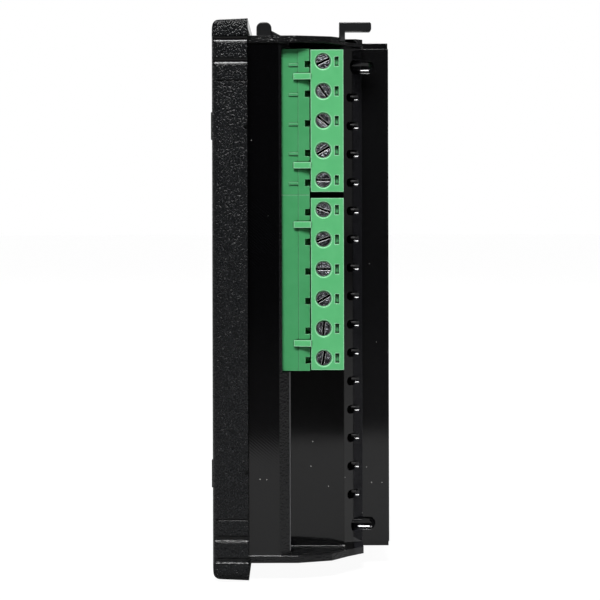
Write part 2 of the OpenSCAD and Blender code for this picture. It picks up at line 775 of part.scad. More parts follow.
module key_switches() color("#303336") {
    for (i = [0:keys - 1]) translate([key_x(i), 0, key_z]) {
        slab_y(-display_y - switch_h, -display_y) square(switch_w, center = true);
        rod_y(plunger_d, -display_y - switch_h - plunger_h, -display_y - switch_h + eps, [0, 0]);
    }
}

module processor() color("#202124") {
    slab_y(display_back, display_back + chip_size[1]) translate(chip_at)
        square(chip_size[0], center = true);
}

module board_link() color("#2a2c2e") {
    block([-link_span / 2 - link_end, display_back, link_z - link_h / 2],
          [link_span / 2 + link_end, main_y, link_z + link_h / 2]);
    for (p = link_at) rod_y(lead_d, -display_y - link_out, main_back + link_out, p);
}

module main_board() color("#1f5a34") {
    leads = concat([for (r = relay_leads) each r], transformer_leads, ct_leads, can_leads,
                   fuse_leads, disc_leads, bridge_leads, link_at);
    hole_y = [main_y - past, main_back + past];
    difference() {
        slab_y(main_y, main_back)
            square([2 * (in_x - board_gap), 2 * (in_z - board_gap)], center = true);
        for (p = seats) rod_y(neck_d + 2 * neck_gap, hole_y[0], hole_y[1], p);
        for (p = leads) rod_y(lead_d + 2 * lead_gap, hole_y[0], hole_y[1], p);
        for (z = concat(upper_z(), lower_z()))
            rod_y(pin_w * sqrt(2) + 2 * pin_gap, hole_y[0], hole_y[1], [pin_x, z]);
    }
}

// Header on the main board: an open box with a window in its mouth at each pole
module header(zs, top, bottom) {
    difference() {
        block([header_x - header_w, main_back, bottom], [header_x, mouth_y, top]);
        block([header_x - header_w + header_wall, main_back + header_floor, bottom + header_wall],
              [header_x - header_wall, mouth_y + past, top - header_wall]);
        block([header_x - header_step, main_back - past, bottom - past],
              [header_x + past, header_step_y, top + past]);
        for (z = zs) {
            hole = pin_w / 2 + pin_gap;
            block([pin_x - hole, main_back - past, z - hole],
                  [pin_x + hole, main_back + header_floor + past, z + hole]);
            translate([header_x - header_wall - past, mouth_y - key_slot_deep,
                       z - key_slot_drop - key_slot_h / 2])
                cube([header_wall + 2 * past, key_slot_deep + past, key_slot_h]);
        }
    }
}

module upper_header() color("#4aa367") {
    zs = upper_z();
    top = split_z + span(zs) + header_ends;
    header(zs, top, split_z + header_split / 2);
    for (z = zs)
        block([header_x - header_step - eps, mark_y, z - mark_drop - mark[1] / 2],
              [header_x - header_step + mark[2], mark_y + mark[0], z - mark_drop + mark[1] / 2]);
}

module lower_header() color("#4aa367") {
    zs = lower_z();
    header(zs, split_z - header_split / 2, split_z - span(zs) - header_ends);
}

// Square contact pins, through the main board and the header's floor
module pins(zs) {
    for (z = zs)
        block([pin_x - pin_w / 2, main_y - lead_out, z - pin_w / 2],
              [pin_x + pin_w / 2, main_back + header_floor + pin_out, z + pin_w / 2]);
}
module upper_pins() color("#c9ccd0") pins(upper_z());
module lower_pins() color("#c9ccd0") pins(lower_z());

// Pull-off plug: nose in the header, block behind it with a chamber for each pole
module plug(zs) {
    mid = middle(zs);
    block_z = (span(zs) + plug_ends) / 2;
    nose_z = (span(zs) + header_ends) / 2 - header_wall - nose_gap - abs(header_ends - plug_ends) / 2;
    nose_x0 = header_x - header_w + header_wall + nose_gap;
    nose_x1 = header_x - header_wall - nose_gap;
    rear = mouth_y + plug_back;
    difference() {
        union() {
            block([plug_base, plug_y, mid - block_z], [plug_x, rear, mid + block_z]);
            block([nose_x0, plug_y - nose_len, mid - nose_z], [nose_x1, plug_y + eps, mid + nose_z]);
            for (s = [-1, 1]) translate([0, 0, mid + s * (span(zs) - pitch) / 2])
                latch_arm();
        }
        for (z = zs) {
            rod_x(well_d, head_x - terminal_head_h - face_gap, plug_x + past, [well_y, z]);
            translate([plug_x - well_rim, well_y, z]) rotate([0, 90, 0])
                cylinder(d1 = well_d, d2 = well_d + 4 * well_rim, h = 2 * well_rim);
            rod_x(terminal_d + 2 * thread_room, cage_top - past, plug_x, [well_y, z]);
            block([chamber_x, plug_y - eps, z - chamber[1] / 2],
                  [chamber_x + chamber[0], plug_y + chamber_y, z + chamber[1] / 2]);
            block([pin_x - socket[0] / 2, plug_y - nose_len - past, z - socket[1] / 2],
                  [pin_x + socket[0] / 2, plug_y + eps, z + socket[1] / 2]);
            block([entry_x - entry[0] / 2, plug_y + chamber_y - eps, z - entry[1] / 2],
                  [entry_x + entry[0] / 2, rear + past, z + entry[1] / 2]);
            block([plug_x - test_deep, rear - test_back - test_slot[0], z - test_slot[1] / 2],
                  [plug_x + past, rear - test_back, z + test_slot[1] / 2]);
            block([nose_x1 - code_deep, plug_y - nose_len - past, z - key_slot_drop - key_slot_h / 2],
                  [nose_x1 + past, plug_y, z - key_slot_drop + key_slot_h / 2]);
        }
    }
}

// Arm of a plug, which reaches over the header's side
module latch_arm() {
    inner = header_x + arm_gap;
    translate([0, 0, -arm[1] / 2]) linear_extrude(arm[1]) polygon([
        [inner, mouth_y - arm[0]], [inner + arm_tip, mouth_y - arm[0]],
        [inner + arm[2], plug_y - arm_tip], [inner + arm[2], plug_y + eps],
        [inner, plug_y + eps]
    ]);
}

module upper_plug() color("#5dbb78") plug(upper_z());
module lower_plug() color("#5dbb78") plug(lower_z());

// Slotted screw of each pole, turned as it was left
module terminal_screws(zs) {
    for (z = zs) difference() {
        union() {
            rod_x(terminal_head_d, head_x - terminal_head_h, head_x, [well_y, z]);
            rod_x(terminal_d, head_x - terminal_head_h - terminal_len,
                  head_x - terminal_head_h + eps, [well_y, z]);
        }
        translate([head_x, well_y, z]) rotate([turn_of(z), 0, 0])
            cube([2 * terminal_slot[1], 2 * terminal_head_d, terminal_slot[0]], center = true);
    }
}
module upper_screws() color("#8d9094") terminal_screws(upper_z());
module lower_screws() color("#8d9094") terminal_screws(lower_z());

// Rectangular tube that the screw lifts against the wire
module wire_clamps(zs) {
    for (z = zs) translate([0, 0, z]) difference() {
        block([cage_x, plug_y + cage_start, -cage_z],
              [cage_top, plug_y + chamber_y - cage_gap, cage_z]);
        block([cage_x + cage_t, plug_y, -cage_z + cage_t],
              [cage_top - cage_nut, plug_y + chamber_y, cage_z - cage_t]);
        rod_x(terminal_d + 2 * terminal_gap, cage_top - cage_nut - eps, cage_top + past, [well_y, 0]);
    }
}
module upper_wire_clamps() color("#a9acb0") wire_clamps(upper_z());
module lower_wire_clamps() color("#a9acb0") wire_clamps(lower_z());

// Two leaves on either side of the pin, bent down to lie under the wire
module contacts(zs) {
    lie = cage_x + cage_t + face_gap;
    reach = pin_w / 2 + spring_gap;
    bend = plug_y + face_gap;
    start = plug_y - nose_len + spring_in;
    end = plug_y + chamber_y - cage_gap;
    for (z = zs) translate([0, 0, z - spring_w / 2]) linear_extrude(spring_w) {
        for (s = [0, 1]) translate([pin_x, 0]) mirror([s, 0])
            polygon([[reach, start], [reach + spring_t, start], [reach + spring_t, bend + spring_t],
                     [0, bend + spring_t], [0, bend], [reach, bend]]);
        polygon([[lie, bend], [pin_x, bend], [pin_x, bend + spring_t], [lie + spring_t, bend + spring_t],
                 [lie + spring_t, end], [lie, end]]);
    }
}
module upper_contacts() color("#c8a868") contacts(upper_z());
module lower_contacts() color("#c8a868") contacts(lower_z());

// Leads of a component, from the main board's front to the component
module leads(places) {
    for (p = places) rod_y(lead_d, main_y - lead_out, main_back + eps, p);
}

// One sealed output relay and its leads
module relay_body(i) color("#2f6fb0") {
    z = relay_top - i * relay_pitch;
    block([relay_x - relay[0] / 2, main_back, z - relay[2] / 2],
          [relay_x + relay[0] / 2, main_back + relay[1], z + relay[2] / 2]);
    leads(relay_leads[i]);
}
module relay_1() { relay_body(0); }
module relay_2() { relay_body(1); }
module relay_3() { relay_body(2); }
module relay_4() { relay_body(3); }
module relay_5() { relay_body(4); }
module relay_6() { relay_body(5); }

// Laminated core with two windows, which the coil fills
module transformer_core() color("#6d7278") {
    y0 = main_back + core_lift;
    translate([transformer_at[0], 0, transformer_at[1]])
        linear_extrude(core[1], center = true) difference() {
            translate([-core[0] / 2, y0]) square([core[0], core_h]);
            for (s = [0, 1]) mirror([s, 0]) translate([limb, y0 + limb])
                square([coil_x - limb, core_h - 2 * limb]);
        }
}

module transformer_coil() color("#c9b36a") {
    y0 = main_back + core_lift;
    inner = [limb + coil_gap, core[1] / 2 + coil_gap];
    outer_x = coil_x - coil_gap;
    translate([transformer_at[0], 0, transformer_at[1]]) {
        difference() {
            block([-outer_x, y0 + limb + coil_gap, -coil_len / 2],
                  [outer_x, y0 + core_h - limb - coil_gap, coil_len / 2]);
            block([-inner[0], y0, -inner[1]], [inner[0], y0 + core_h, inner[1]]);
        }
        for (s = [-1, 1]) translate([0, 0, s * (inner[1] + coil_len / 2) / 2])
            block([-outer_x, main_back, -coil_foot / 2],
                  [outer_x, y0 + limb + coil_gap + eps, coil_foot / 2]);
    }
    leads(transformer_leads);
}

module current_transformer() color("#23262a") {
    translate([ct_at[0], main_back, ct_at[1]]) difference() {
        translate([-ct_size[0] / 2, 0, -ct_size[2] / 2]) cube(ct_size);
        translate([0, ct_size[1] / 2, -ct_size[2]]) cylinder(d = ct_bore, h = 2 * ct_size[2]);
    }
    leads(ct_leads);
}

module capacitors() color("#24303f") {
    for (i = [0:2]) rod_y(can_d[i], main_back, main_back + can_h[i], cans[i]);
    leads(can_leads);
}

module fuse() color("#5a2f22") {
    rod_y(fuse_size[0], main_back, main_back + fuse_size[1], fuse_at);
    leads(fuse_leads);
}

module surge_arrester() color("#2c4fa0") {
    translate([disc_at[0], main_back + disc_size[0] / 2, disc_at[1]]) {
        cylinder(d = disc_size[0], h = disc_size[1], center = true);
        block([-disc_flat / 2, -disc_size[0] / 2, -disc_size[1] / 2],
              [disc_flat / 2, 0, disc_size[1] / 2]);
    }
    leads(disc_leads);
}

module rectifier() color("#1b1c1e") {
    translate([bridge_at[0] - bridge_size[0] / 2, main_back, bridge_at[1] - bridge_size[2] / 2])
        cube(bridge_size);
    leads(bridge_leads);
}

// Block, slopes and rear box, with the top and bottom walls
module housing_form() {
    linear_extrude(2 * in_z, center = true) polygon(both_halves(half_plan(0)));
    for (s = [0, 1]) mirror([0, 0, s]) translate([0, 0, in_z])
        linear_extrude(wall) polygon(both_halves(cheek_plan));
}

// Space inside the housing, less the screw columns and the corners of the rear box
module housing_space() {
    difference() {
        linear_extrude(2 * in_z, center = true) polygon(both_halves(
            concat([[in_x, -rim_in - past]], half_plan(wall))));
        for (sx = [0, 1], sz = [0, 1]) mirror([sx, 0, 0]) mirror([0, 0, sz])
            block([rear_in - rebate_w, slope_end - 2 * wall, in_z - wall],
                  [rear_x + past, body_depth, in_z + past]);
        for (p = seats) rod_y(column_d, main_back, body_depth, p);
        for (p = seats) rod_y(neck_d, main_y - neck_reach, main_back + eps, p);
    }
}

module vent_slots() {
    round_d = vent_h;
    mid_x = (floor_x + rear_x) / 2;
    for (sx = [0, 1], i = [0:vents - 1]) mirror([sx, 0, 0])
        translate([mid_x, 0, (i - (vents - 1) / 2) * vent_pitch]) {
            block([-vent_len / 2 + round_d / 2, slope_start - wall, -vent_h / 2],
                  [vent_len / 2 - round_d / 2, slope_end + past, vent_h / 2]);
            for (s = [-1, 1])
                rod_y(round_d, slope_start - wall, slope_end + past,
                      [s * (vent_len - round_d) / 2, 0]);
        }
}

// Access hole for a screw, with the relief that runs out in the side of the rear box
module access_holes() {
    for (sx = [0, 1], sz = [0, 1]) mirror([sx, 0, 0]) mirror([0, 0, sz]) {
        rod_y(access_d, seat_y, slope_end + past, screw_at);
        rod_y(shank_d + 2 * shank_gap, main_y - neck_reach - past, seat_y + past, screw_at);
        relief = [screw_at[0] - relief_shift, screw_at[1]];
        rod_y(access_d, seat_y + head_h, relief_y, relief);
        translate([relief[0], relief_y, relief[1]]) sphere(d = access_d);
    }
}

// Dovetail groove for the panel clamp, seen in section
module dovetail(gap, depth) {
    polygon([
        [-runner[1] / 2 - gap, -depth], [runner[1] / 2 + gap, -depth],
        [runner[0] / 2 + gap, 0], [-runner[0] / 2 - gap, 0]
    ]);
}

module clamp_groove() {
    translate([clamp_x, 0, top_z]) {
        slab_y(groove_y, slope_end + past) dovetail(runner_gap, runner[2] + runner_gap);
        slab_y(groove_y, slope_end + past)
            translate([-runner[0] / 2 - runner_gap, -eps])
                square([runner[0] + 2 * runner_gap, past]);
    }
}

// Opening in the shoulder for both headers, from a depth rearwards and out to x1
module header_notch(y0, x1) {
    block([header_x - header_w - notch_gap, y0, split_z - span(lower_z()) - header_ends - notch_gap],
          [x1, shoulder_y + eps, split_z + span(upper_z()) + header_ends + notch_gap]);
}

module rear_housing() color("#161718") {
    difference() {
        housing_form();
        housing_space();
        vent_slots();
        access_holes();
        header_notch(notch_y, body_w);
        header_notch(shoulder_y - shoulder_bevel[1] - wall, in_x);
        clamp_groove();
        rotate([0, 180, 0]) clamp_groove();
    }
}

module housing_screws() color("#9a9da0") {
    for (p = seats) {
        rod_y(shank_d, -tip_y, seat_y + eps, p);
        difference() {
            rod_y(head_d, seat_y, seat_y + head_h, p);
            cross_recess(seat_y + head_h, p);
        }
    }
}

// Sliding panel clamp: dovetail runner, nose with a round crown, finger tab
module clamp_form() {
    top = nose_h - nose_r;
    web_end = nose_y + nose_l + web[0];
    translate([clamp_x, 0, top_z]) difference() {
        union() {
            slab_y(nose_y, leg_y + leg_t) dovetail(0, runner[2]);
            rotate([90, 0, 90]) linear_extrude(clamp_w, center = true) {
                translate([nose_y, -runner[2] / 2]) square([nose_l, runner[2] / 2 + top]);
                translate([nose_y + nose_r, 0]) square([nose_l - 2 * nose_r, nose_h]);
                for (y = [nose_y + nose_r, nose_y + nose_l - nose_r])
                    translate([y, top]) circle(r = nose_r);
                translate([leg_y, -runner[2] / 2]) square([leg_t, tab_h + runner[2] / 2 - tab_r]);
                translate([leg_y, tab_h - tab_t]) square([tab_len - tab_r, tab_t]);
                translate([leg_y, tab_h - tab_t + tab_r]) square([tab_len, tab_t - 2 * tab_r]);
                for (z = [tab_h - tab_r, tab_h - tab_t + tab_r])
                    translate([leg_y + tab_len - tab_r, z]) circle(r = tab_r);
            }
            rotate([90, 0, 90]) linear_extrude(rib_t, center = true)
                polygon([[nose_y + nose_l - eps, 0], [web_end, 0],
                         [nose_y + nose_l - eps, web[1]]]);
        }
        for (i = [0:notches - 1])
            translate([0, web_end + (i + 0.5) * notch_pitch, 0])
                cube([runner[1] + past, notch_pitch / 2, 2 * notch_deep], center = true);
    }
}
module top_clamp() color("#101112") clamp_form();
module bottom_clamp() color("#101112") rotate([0, 180, 0]) clamp_form();

front_bezel();
display_window();
display_cell();
backlight_frame();
display_board();
display_board_screws();
key_1();
key_2();
key_3();
key_4();
key_switches();
processor();
board_link();
main_board();
upper_header();
lower_header();
upper_pins();
lower_pins();
upper_plug();
lower_plug();
upper_screws();
lower_screws();
upper_wire_clamps();
lower_wire_clamps();
upper_contacts();
lower_contacts();
relay_1();
relay_2();
relay_3();
relay_4();
relay_5();
relay_6();
transformer_core();
transformer_coil();
current_transformer();
capacitors();
fuse();
surge_arrester();
rectifier();
rear_housing();
housing_screws();
top_clamp();
bottom_clamp();
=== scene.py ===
"""Reactive power controller in a white studio, seen from its right side.

It is a black panel instrument, 144 mm square, with green pull-off terminal blocks.
"""

import math

import bpy
import numpy as np
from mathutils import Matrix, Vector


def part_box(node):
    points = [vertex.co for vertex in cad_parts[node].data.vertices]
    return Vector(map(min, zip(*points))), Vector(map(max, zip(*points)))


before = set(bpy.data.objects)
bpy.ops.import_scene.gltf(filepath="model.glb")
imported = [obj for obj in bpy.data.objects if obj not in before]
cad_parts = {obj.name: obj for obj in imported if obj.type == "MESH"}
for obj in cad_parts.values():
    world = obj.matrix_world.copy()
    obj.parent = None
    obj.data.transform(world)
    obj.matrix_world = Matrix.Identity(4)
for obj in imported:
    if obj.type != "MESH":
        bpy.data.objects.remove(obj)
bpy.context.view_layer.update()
mm = 0.001

# Camera
# A long lens looks straight at the right side of the instrument from half a metre. Its axis passes
# above the middle of the object, so the frame is shifted down to take it all in.
camera_at = (572 * mm, 13.3 * mm, 23.84 * mm)
sensor_w = 36
focal_px = 1970
frame_px = 600
axis_px = 206
roll_deg = 0.15

camera = bpy.data.objects.new("camera", bpy.data.cameras.new("camera"))
bpy.context.scene.collection.objects.link(camera)
camera.data.sensor_width = sensor_w
camera.data.lens = sensor_w * focal_px / frame_px
camera.data.shift_y = (axis_px - frame_px / 2) / frame_px
camera.data.clip_start = 10 * mm
camera.location = camera_at
camera.rotation_euler = (math.radians(90), math.radians(roll_deg), math.radians(90))
bpy.context.scene.camera = camera

# Studio
# A white table in front of a white backdrop, with a key softbox high over the camera's side of a dim
# room and two weak ones that fill the front and the back. The table turns black a third of a metre
# before the instrument, which shows in the gloss plastic.
table_z = -72.05 * mm
table_rings = [0.0, 0.5, 2.0, 6.0]
table_steps = 96
table_end, table_end_blur = 330 * mm, 40 * mm
table_near, table_far, table_seen = "#a4a4a4", "#0c0c0c", "#484848"
table_glow = 0.95
softboxes = [
    # name, middle and size in metres, power in watts
    ("softbox_key", (0.74, -0.05, 0.90), (0.36, 0.32), 17),
    ("softbox_front", (-1.10, -1.10, 0.80), (0.9, 0.7), 9),
    ("softbox_back", (-1.10, 0.95, 0.70), (0.8, 0.6), 5),
]
# The room's light by the way a ray goes: 1 is straight to the camera's side, -1 to the backdrop.
room_dim_way, room_dim = 0.5, 0.01
room_light_way, room_light = -0.3, 0.16
backdrop_way, backdrop_full_way, backdrop_light = -0.85, -0.92, 0.9
fill_light = 0.08


def srgb(hex_colour):
    """A colour written as sRGB hex, turned to the linear values that shaders take."""
    c = np.array([int(hex_colour[i : i + 2], 16) for i in (1, 3, 5)]) / 255
    linear = np.where(c <= 0.04045, c / 12.92, ((c + 0.055) / 1.055) ** 2.4)
    return (*[float(x) for x in linear], 1.0)


def add(tree, kind, inputs=None, **fields):
    """Adds a node, sets its fields, and gives each input a value or a link from another node's output.

    An input goes by its name or number. On a Mix node, 0 is the share, 2 and 3 are the numbers to mix,
    4 and 5 the vectors, and 6 and 7 the colours. They come out at 0, 1 and 2.
    """
    made = tree.nodes.new(kind)
    for name, value in fields.items():
        setattr(made, name, value)
    for name, value in (inputs or {}).items():
        if isinstance(value, bpy.types.NodeSocket):
            tree.links.new(value, made.inputs[name])
        else:
            made.inputs[name].default_value = value
    return made


def new_material(name):
    """An empty material, its node tree and its Principled shader, already joined to the output."""
    made = bpy.data.materials.new(name)
    made.use_nodes = True
    tree = made.node_tree
    return made, tree, tree.nodes["Principled BSDF"]


def finish_nodes(material, *names):
    """Gives CAD nodes their material."""
    for name in names:
        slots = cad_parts[name].material_slots
        for slot in slots:
            slot.link = "OBJECT"
            slot.material = material
        if not slots:
            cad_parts[name].data.materials.append(material)


paper, tree, shader = new_material("white_paper")
rays = add(tree, "ShaderNodeLightPath")
place = add(tree, "ShaderNodeNewGeometry")
place = add(tree, "ShaderNodeSeparateXYZ", {"Vector": place.outputs["Position"]})
beyond = add(tree, "ShaderNodeMapRange", {"Value": place.outputs["X"], "From Min": table_end,
                                          "From Max": table_end + table_end_blur})
cast = add(tree, "ShaderNodeMix", {0: beyond.outputs["Result"], 6: srgb(table_near),
                                   7: srgb(table_far)}, data_type="RGBA")
colour = add(tree, "ShaderNodeMix", {0: rays.outputs["Is Camera Ray"], 6: cast.outputs[2],
                                     7: srgb(table_seen)}, data_type="RGBA")
glow = add(tree, "ShaderNodeMath", {0: rays.outputs["Is Camera Ray"], 1: table_glow},
           operation="MULTIPLY")
tree.links.new(colour.outputs[2], shader.inputs["Base Color"])
tree.links.new(glow.outputs[0], shader.inputs["Emission Strength"])
shader.inputs["Roughness"].default_value = 0.9
shader.inputs["Emission Color"].default_value = srgb("#ffffff")

# The table is a disc: rings of points round its middle, each with the angle's cosine and sine.
angle, reach = np.meshgrid(np.linspace(0, 2 * np.pi, table_steps, endpoint=False), table_rings)
disc = np.stack([reach * np.cos(angle), reach * np.sin(angle), np.full_like(angle, table_z)], axis=-1)
ring = np.arange(len(disc) - 1)[:, None] * table_steps
here = np.arange(table_steps)[None, :]
after = (here + 1) % table_steps
quads = np.stack([ring + here, ring + after, ring + table_steps + after, ring + table_steps + here],
                 axis=-1)
mesh = bpy.data.meshes.new("table")
mesh.from_pydata(disc.reshape(-1, 3).tolist(), [], quads.reshape(-1, 4).tolist())
mesh.materials.append(paper)
table = bpy.data.objects.new("table", mesh)
bpy.context.scene.collection.objects.link(table)

for name, middle, size, power in softboxes:
    light = bpy.data.objects.new(name, bpy.data.lights.new(name, "AREA"))
    bpy.context.scene.collection.objects.link(light)
    light.data.shape = "RECTANGLE"
    light.data.size, light.data.size_y = size
    light.data.energy = power
    light.location = middle
    x, y, z = middle
    light.rotation_euler = (math.atan2(math.hypot(x, y), z), 0, math.atan2(-y, -x) - math.pi / 2)

world = bpy.data.worlds.new("studio")
bpy.context.scene.world = world
world.use_nodes = True
sky = world.node_tree
rays = add(sky, "ShaderNodeLightPath")
way = add(sky, "ShaderNodeTexCoord")
way = add(sky, "ShaderNodeSeparateXYZ", {"Vector": way.outputs["Generated"]})
walls = add(sky, "ShaderNodeMapRange", {"Value": way.outputs["X"], "From Min": room_dim_way,
                                        "From Max": room_light_way, "To Min": room_dim,
                                        "To Max": room_light})
backdrop = add(sky, "ShaderNodeMapRange", {"Value": way.outputs["X"], "From Min": backdrop_way,
                                           "From Max": backdrop_full_way,
                                           "To Max": backdrop_light})
around = add(sky, "ShaderNodeMath", {0: walls.outputs["Result"], 1: backdrop.outputs["Result"]},
             operation="ADD")
room = add(sky, "ShaderNodeBackground", {"Color": srgb("#ffffff"), "Strength": around.outputs[0]})
white = add(sky, "ShaderNodeBackground", {"Color": srgb("#ffffff"), "Strength": 1.0})
soft = add(sky, "ShaderNodeBackground", {"Color": srgb("#ffffff"), "Strength": fill_light})
lit = add(sky, "ShaderNodeMixShader", {"Fac": rays.outputs["Is Glossy Ray"], 1: soft.outputs[0],
                                       2: room.outputs[0]})
seen = add(sky, "ShaderNodeMixShader", {"Fac": rays.outputs["Is Camera Ray"], 1: lit.outputs[0],
                                        2: white.outputs[0]})
sky.links.new(seen.outputs[0], sky.nodes["World Output"].inputs["Surface"])
bpy.context.scene.view_settings.view_transform = "Standard"

# Front bezel
# One moulding in black PC/ABS from a spark-eroded mould, which leaves a fine leathery grain. The back,
# the worn edges and the grooves near both ends of the sides are smoother, the lower grooves half as
# much. The corners are flat at first and turn sharply towards the top and the bottom.
bezel_grain, grain_depth = 0.4 * mm, 0.185 * mm
pits_per_grain = 0.75
cloud_size = 16.7 * mm
bezel_dark, bezel_light, bezel_smooth = "#08090a", "#1e1f21", "#060607"
grain_roughness, smooth_roughness = (0.11, 0.18), 0.2
grain_strength, smooth_strength = 0.9, 0.2
bezel_edge = 0.3 * mm
# Angles between faces, or from a face to an axis, are given by their cosines here and below.
worn_from, worn_full = 0.96, 0.82
back_lean = 0.9
groove_z = [66.3 * mm, 60.7 * mm]
groove_half = 0.9 * mm
groove_x = 71.0 * mm
lower_groove_polish = 0.5
corner_from = 67.0 * mm
corner_turn = 0.93


def near_edge(tree, rounded, start, full):
    """0 on a face, rising to 1 as the rounded normal turns away from it; both ends are cosines."""
    face = add(tree, "ShaderNodeNewGeometry")
    agree = add(tree, "ShaderNodeVectorMath", {0: rounded.outputs[0], 1: face.outputs["Normal"]},
                operation="DOT_PRODUCT")
    return add(tree, "ShaderNodeMapRange", {"Value": agree.outputs["Value"], "From Min": start,
                                            "From Max": full}).outputs["Result"]


def combine(tree, operation, *values):
    """One Math operation carried over all the values, such as the largest or the product."""
    total = values[0]
    for value in values[1:]:
        total = add(tree, "ShaderNodeMath", {0: total, 1: value}, operation=operation).outputs[0]
    return total


def past(tree, value, limit):
    """1 where the value is past the limit on either side of the middle, else 0."""
    size = add(tree, "ShaderNodeMath", {0: value}, operation="ABSOLUTE")
    return combine(tree, "GREATER_THAN", size.outputs[0], limit)


def stretch(tree, value, low, high):
    """1 where the value lies between low and high, else 0."""
    middle, half = (low + high) / 2, (high - low) / 2
    return add(tree, "ShaderNodeMath", {0: value, 1: middle, 2: half}, operation="COMPARE").outputs[0]


def spark_eroded(tree, coords):
    """The noise of an eroded mould and its height: the noise plus rounded pits, a grain or two wide."""
    grains = add(tree, "ShaderNodeTexNoise", {"Vector": coords.outputs["Object"],
                                              "Scale": 1 / bezel_grain, "Detail": 3.0,
                                              "Roughness": 0.6})
    pits = add(tree, "ShaderNodeTexVoronoi", {"Vector": coords.outputs["Object"],
                                              "Scale": pits_per_grain / bezel_grain},
               feature="SMOOTH_F1")
    return grains.outputs["Fac"], combine(tree, "ADD", grains.outputs["Fac"],
                                          pits.outputs["Distance"])


material, tree, shader = new_material("pc_abs_spark_eroded_black")
coords = add(tree, "ShaderNodeTexCoord")
axes = add(tree, "ShaderNodeSeparateXYZ", {"Vector": coords.outputs["Object"]})
facing = add(tree, "ShaderNodeSeparateXYZ", {"Vector": coords.outputs["Normal"]})
from_middle = add(tree, "ShaderNodeMath", {0: axes.outputs["Z"]}, operation="ABSOLUTE").outputs[0]
polish = add(tree, "ShaderNodeMapRange", {"Value": axes.outputs["Z"], "From Max": groove_half,
                                          "To Min": lower_groove_polish})
in_groove = combine(tree, "MAXIMUM", *[stretch(tree, from_middle, z - groove_half, z + groove_half)
                                       for z in groove_z])
in_groove = combine(tree, "MULTIPLY", in_groove, past(tree, axes.outputs["X"], groove_x),
                    polish.outputs["Result"])
in_corner = combine(tree, "MULTIPLY", past(tree, axes.outputs["X"], corner_from),
                    past(tree, axes.outputs["Z"], corner_from))
rounded = add(tree, "ShaderNodeBevel", {"Radius": bezel_edge}, samples=4)
round_edges = combine(tree, "MULTIPLY", near_edge(tree, rounded, worn_from, worn_full),
               combine(tree, "SUBTRACT", 1.0, in_corner))
on_back = combine(tree, "GREATER_THAN", facing.outputs["Y"], back_lean)
smooth = combine(tree, "MAXIMUM", in_groove, on_back, round_edges)

grains, height = spark_eroded(tree, coords)
clouds = add(tree, "ShaderNodeTexNoise", {"Vector": coords.outputs["Object"],
                                          "Scale": 1 / cloud_size, "Detail": 2.0})
tone = add(tree, "ShaderNodeMapRange", {"Value": grains, "From Min": 0.35, "From Max": 0.7})
colour = add(tree, "ShaderNodeMix", {0: tone.outputs["Result"], 6: srgb(bezel_dark),
                                     7: srgb(bezel_light)}, data_type="RGBA")
colour = add(tree, "ShaderNodeMix", {0: smooth, 6: colour.outputs[2], 7: srgb(bezel_smooth)},
             data_type="RGBA")
rough = add(tree, "ShaderNodeMapRange", {"Value": clouds.outputs["Fac"],
                                         "To Min": grain_roughness[0],
                                         "To Max": grain_roughness[1]})
rough = add(tree, "ShaderNodeMix", {0: smooth, 2: rough.outputs["Result"], 3: smooth_roughness})
strength = add(tree, "ShaderNodeMapRange", {"Value": smooth, "To Min": grain_strength,
                                            "To Max": smooth_strength})

turned = add(tree, "ShaderNodeSeparateXYZ", {"Vector": rounded.outputs[0]})
turned = add(tree, "ShaderNodeMath", {0: turned.outputs["Z"]}, operation="ABSOLUTE")
flat = add(tree, "ShaderNodeMapRange", {"Value": turned.outputs[0], "From Min": corner_turn,
                                        "To Min": 1.0, "To Max": 0.0})
sideways = add(tree, "ShaderNodeMath", {0: axes.outputs["X"]}, operation="SIGN")
sideways = add(tree, "ShaderNodeCombineXYZ", {"X": sideways.outputs[0]})
normal = add(tree, "ShaderNodeMix",
             {0: combine(tree, "MULTIPLY", flat.outputs["Result"], in_corner),
              4: rounded.outputs[0], 5: sideways.outputs[0]}, data_type="VECTOR")
normal = add(tree, "ShaderNodeVectorMath", {0: normal.outputs[1]}, operation="NORMALIZE")
bump = add(tree, "ShaderNodeBump", {"Height": height, "Strength": strength.outputs["Result"],
                                    "Distance": grain_depth, "Normal": normal.outputs[0]})
tree.links.new(colour.outputs[2], shader.inputs["Base Color"])
tree.links.new(rough.outputs[0], shader.inputs["Roughness"])
tree.links.new(bump.outputs["Normal"], shader.inputs["Normal"])
shader.inputs["IOR"].default_value = 1.55
shader.inputs["Specular IOR Level"].default_value = 0.31
finish_nodes(material, "front_bezel")

# Display
# A hard-coated acrylic window, printed black round the view, over a reflective liquid crystal cell
# in a white polycarbonate frame that spreads the backlight.
window_lo, window_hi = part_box("display_window")
cell_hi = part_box("display_cell")[1]
window_z = (window_lo.z + window_hi.z) / 2
print_ring = 3.5 * mm
acrylic_clear, acrylic_print = "#f2f4f2", "#08090a"
crystal_dark, crystal_light = "#75836c", "#8b9a80"
crystal_mottle = 28.6 * mm
frame_grain, frame_grain_depth = 1.11 * mm, 0.02 * mm
frame_edge = 0.3 * mm
frame_scatter = 0.6 * mm

